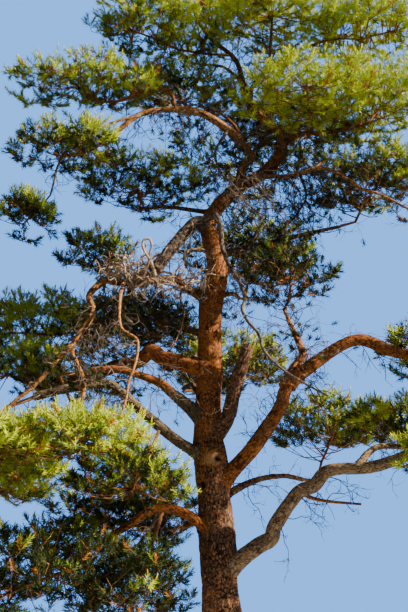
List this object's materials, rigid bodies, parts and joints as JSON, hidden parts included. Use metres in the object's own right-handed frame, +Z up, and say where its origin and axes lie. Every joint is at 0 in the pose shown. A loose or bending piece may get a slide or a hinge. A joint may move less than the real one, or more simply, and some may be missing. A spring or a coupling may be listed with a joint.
{
  "type": "pine tree",
  "caption": "Old gnarled pine with a thick scaly trunk, crooked spreading boughs, dead grey limbs and an open crown of needle sprays.",
  "frame": {"origin": "middle of the flat cut under the trunk, at ground level", "axes": "+Z up, +X to the right as seen from the front, +Y away from the front"},
  "size_m": [7.7328, 4.8466, 11.9956],
  "materials": {
    "bark": "rough plated bark, grey-brown low down and flaky orange higher up",
    "dead_wood": "bare weathered grey wood",
    "needles": "matt green needles with lighter new shoots"
  },
  "bodies": {
    "root": {"trunk": "bark", "leader": "bark", "top_right_bough": "bark", "crown_right_bough": "bark", "crown_left_bough": "bark", "left_plate_bough": "bark", "drooping_bough": "bark", "upper_left_bough": "bark", "sawn_stub": "dead_wood", "hanging_dead_bough": "dead_wood", "right_middle_bough": "bark", "elbow_inner_bough": "bark", "elbow_outer_bough": "bark", "elbow_branch": "bark", "left_behind_bough": "bark", "left_thick_bough": "bark", "left_orange_bough": "bark", "left_grey_bough": "bark", "left_lowest_bough": "bark", "right_broken_bough": "bark", "right_rising_bough": "bark", "right_spur": "bark", "right_lowest_bough": "bark", "right_fork_bough": "bark", "back_low_bough": "bark", "back_middle_bough": "bark", "back_high_bough": "bark", "top_mass": "needles", "top_left_mass": "needles", "top_middle_mass": "needles", "top_right_mass": "needles", "right_plate_mass": "needles", "right_front_mass": "needles", "right_upper_mass": "needles", "left_plate_mass": "needles", "left_inner_mass": "needles", "left_under_mass": "needles", "drooping_mass": "needles", "upper_left_mass": "needles", "crown_back_mass": "needles", "right_middle_mass": "needles", "inner_back_mass": "needles", "left_behind_mass": "needles", "left_inner_back_mass": "needles", "elbow_mass": "needles", "left_tip_mass": "needles", "left_far_mass": "needles", "left_outer_mass": "needles", "left_front_mass": "needles", "left_middle_mass": "needles", "left_low_mass": "needles", "left_low_inner_mass": "needles", "left_low_back_mass": "needles", "right_tip_mass": "needles", "right_spur_mass": "needles", "right_low_mass": "needles", "right_fork_mass": "needles", "right_back_mass": "needles", "middle_back_mass": "needles", "dead_tangle": "dead_wood"}
  },
  "joints": []
}
